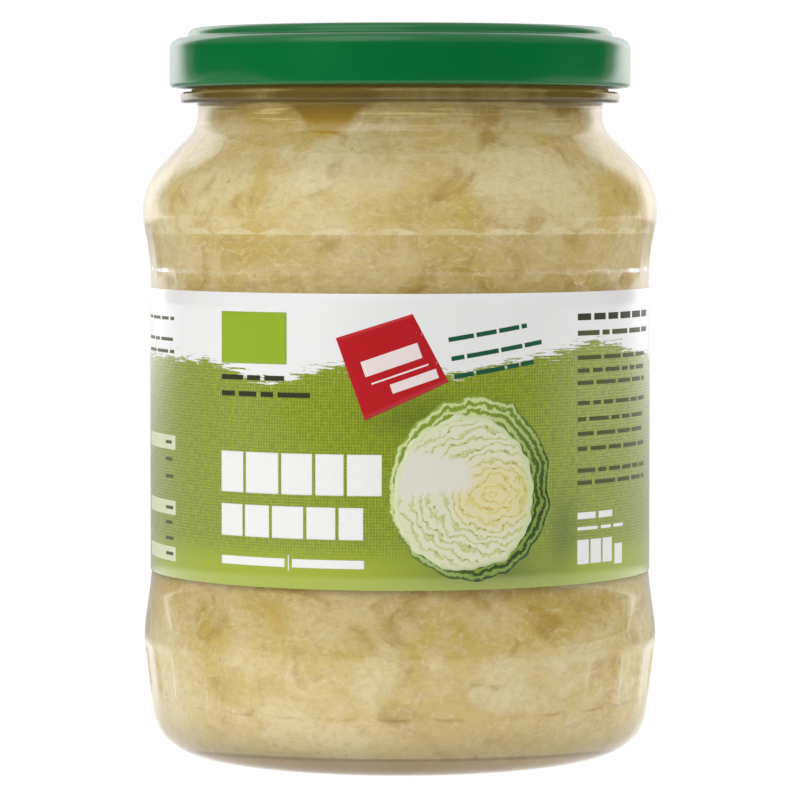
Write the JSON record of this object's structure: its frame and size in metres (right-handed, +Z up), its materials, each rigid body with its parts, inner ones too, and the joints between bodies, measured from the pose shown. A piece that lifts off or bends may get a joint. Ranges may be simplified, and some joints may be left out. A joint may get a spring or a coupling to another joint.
{
  "type": "sauerkraut jar",
  "caption": "Clear glass preserving jar with a faceted bulge above and below its paper label, filled with shredded cabbage in brine and closed by a stepped steel twist-off lid.",
  "frame": {"origin": "centre of the foot ring, on the surface that the jar stands on", "axes": "+Z up along the jar's axis, the middle of the label faces -Y, +X to the right as the label is read"},
  "size_m": [0.0956, 0.0956, 0.134],
  "materials": {
    "glass": "polished clear soda-lime glass",
    "lid_lacquer": "glossy green lacquer on tinplate",
    "label_paper": "coated paper with a green printed field",
    "cabbage": "wet pale yellow shreds",
    "brine": "clear amber liquid"
  },
  "bodies": {
    "root": {"jar_glass": "glass", "lid": "lid_lacquer", "label": "label_paper", "sauerkraut": "cabbage", "brine": "brine"}
  },
  "joints": []
}
